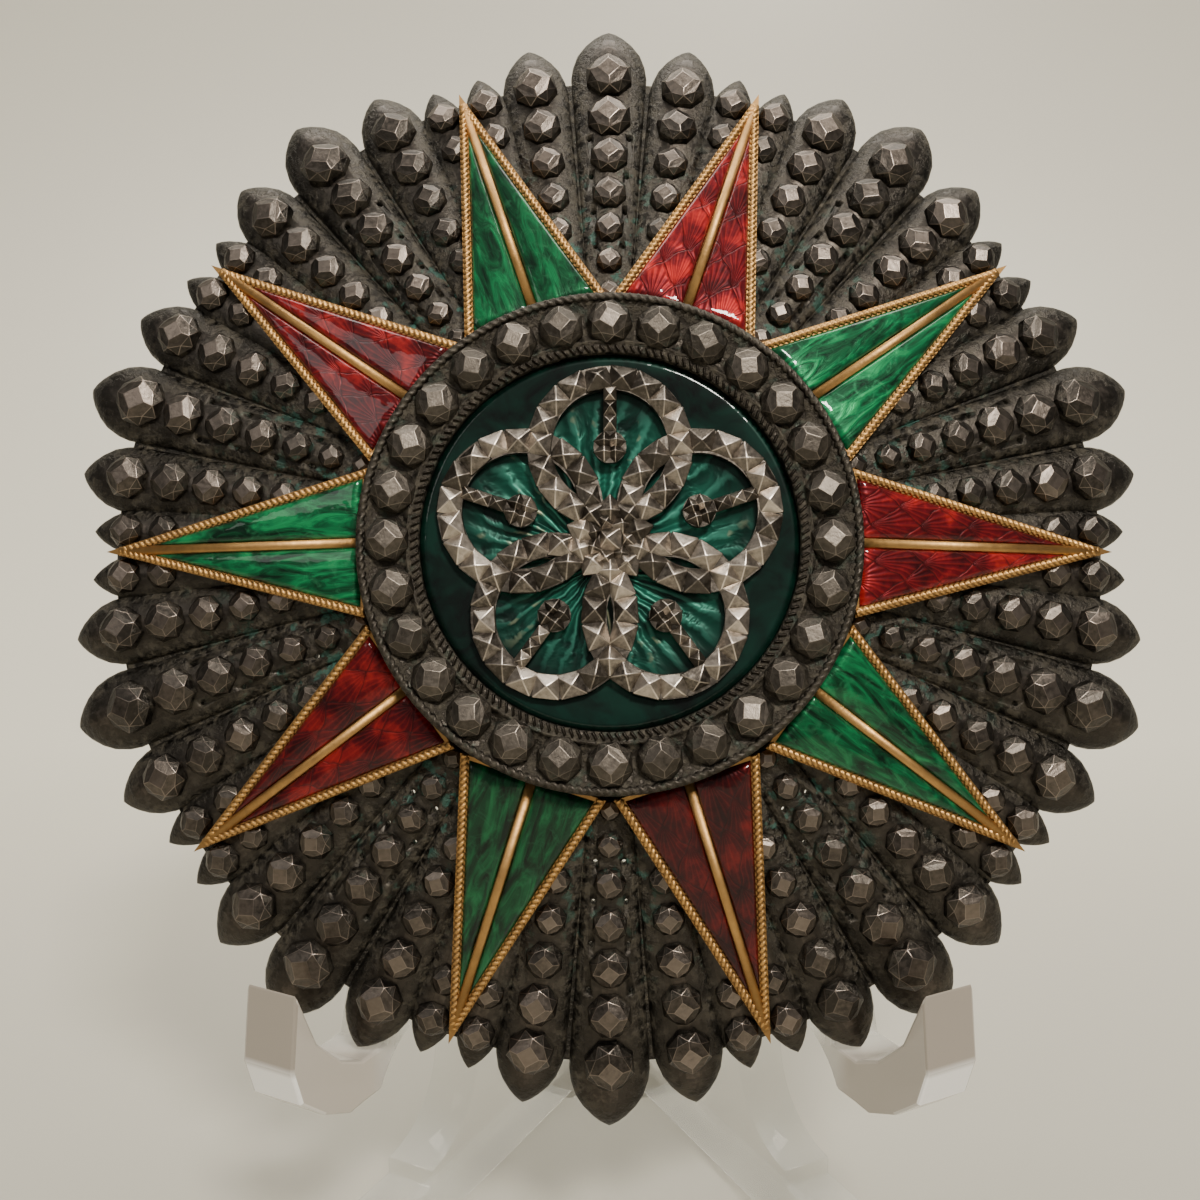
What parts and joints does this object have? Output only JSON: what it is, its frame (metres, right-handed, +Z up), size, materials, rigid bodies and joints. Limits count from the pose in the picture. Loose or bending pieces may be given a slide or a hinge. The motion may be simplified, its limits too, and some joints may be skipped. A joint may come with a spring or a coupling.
{
  "type": "breast star on a display stand",
  "caption": "Round faceted silver breast star with red and green enamelled points and an openwork centre, leaning on a clear plastic easel.",
  "frame": {"origin": "on the table, under the middle of the object's box", "axes": "+Z up; -Y is the front, where the star faces; +X is to the right seen from the front"},
  "size_m": [0.0814, 0.0486, 0.097],
  "materials": {
    "dark_silver": "oxidised silver, satin, with lighter worn facet edges",
    "bright_silver": "worn silver, pewter tone, faceted",
    "gold": "worn gilding, satin",
    "red_enamel": "glossy translucent red enamel over an engraved ground",
    "green_enamel": "glossy translucent green enamel over an engraved ground",
    "centre_enamel": "glossy translucent blue-green enamel over a rayed ground",
    "clear_acrylic": "clear acrylic with polished edges"
  },
  "bodies": {
    "root": {"star_body": "dark_silver", "centre_ring": "dark_silver", "centre_enamel": "centre_enamel", "centre_ornament": "bright_silver", "back_pin": "dark_silver", "point_frame_1": "gold", "point_frame_2": "gold", "point_frame_3": "gold", "point_frame_4": "gold", "point_frame_5": "gold", "point_frame_6": "gold", "point_frame_7": "gold", "point_frame_8": "gold", "point_frame_9": "gold", "point_frame_10": "gold", "point_enamel_1_left": "green_enamel", "point_enamel_2_left": "red_enamel", "point_enamel_3_left": "green_enamel", "point_enamel_4_left": "red_enamel", "point_enamel_5_left": "green_enamel", "point_enamel_6_left": "red_enamel", "point_enamel_7_left": "green_enamel", "point_enamel_8_left": "red_enamel", "point_enamel_9_left": "green_enamel", "point_enamel_10_left": "red_enamel", "point_enamel_1_right": "green_enamel", "point_enamel_2_right": "red_enamel", "point_enamel_3_right": "green_enamel", "point_enamel_4_right": "red_enamel", "point_enamel_5_right": "green_enamel", "point_enamel_6_right": "red_enamel", "point_enamel_7_right": "green_enamel", "point_enamel_8_right": "red_enamel", "point_enamel_9_right": "green_enamel", "point_enamel_10_right": "red_enamel", "easel_frame_left": "clear_acrylic", "easel_frame_right": "clear_acrylic", "easel_spine": "clear_acrylic"}
  },
  "joints": []
}
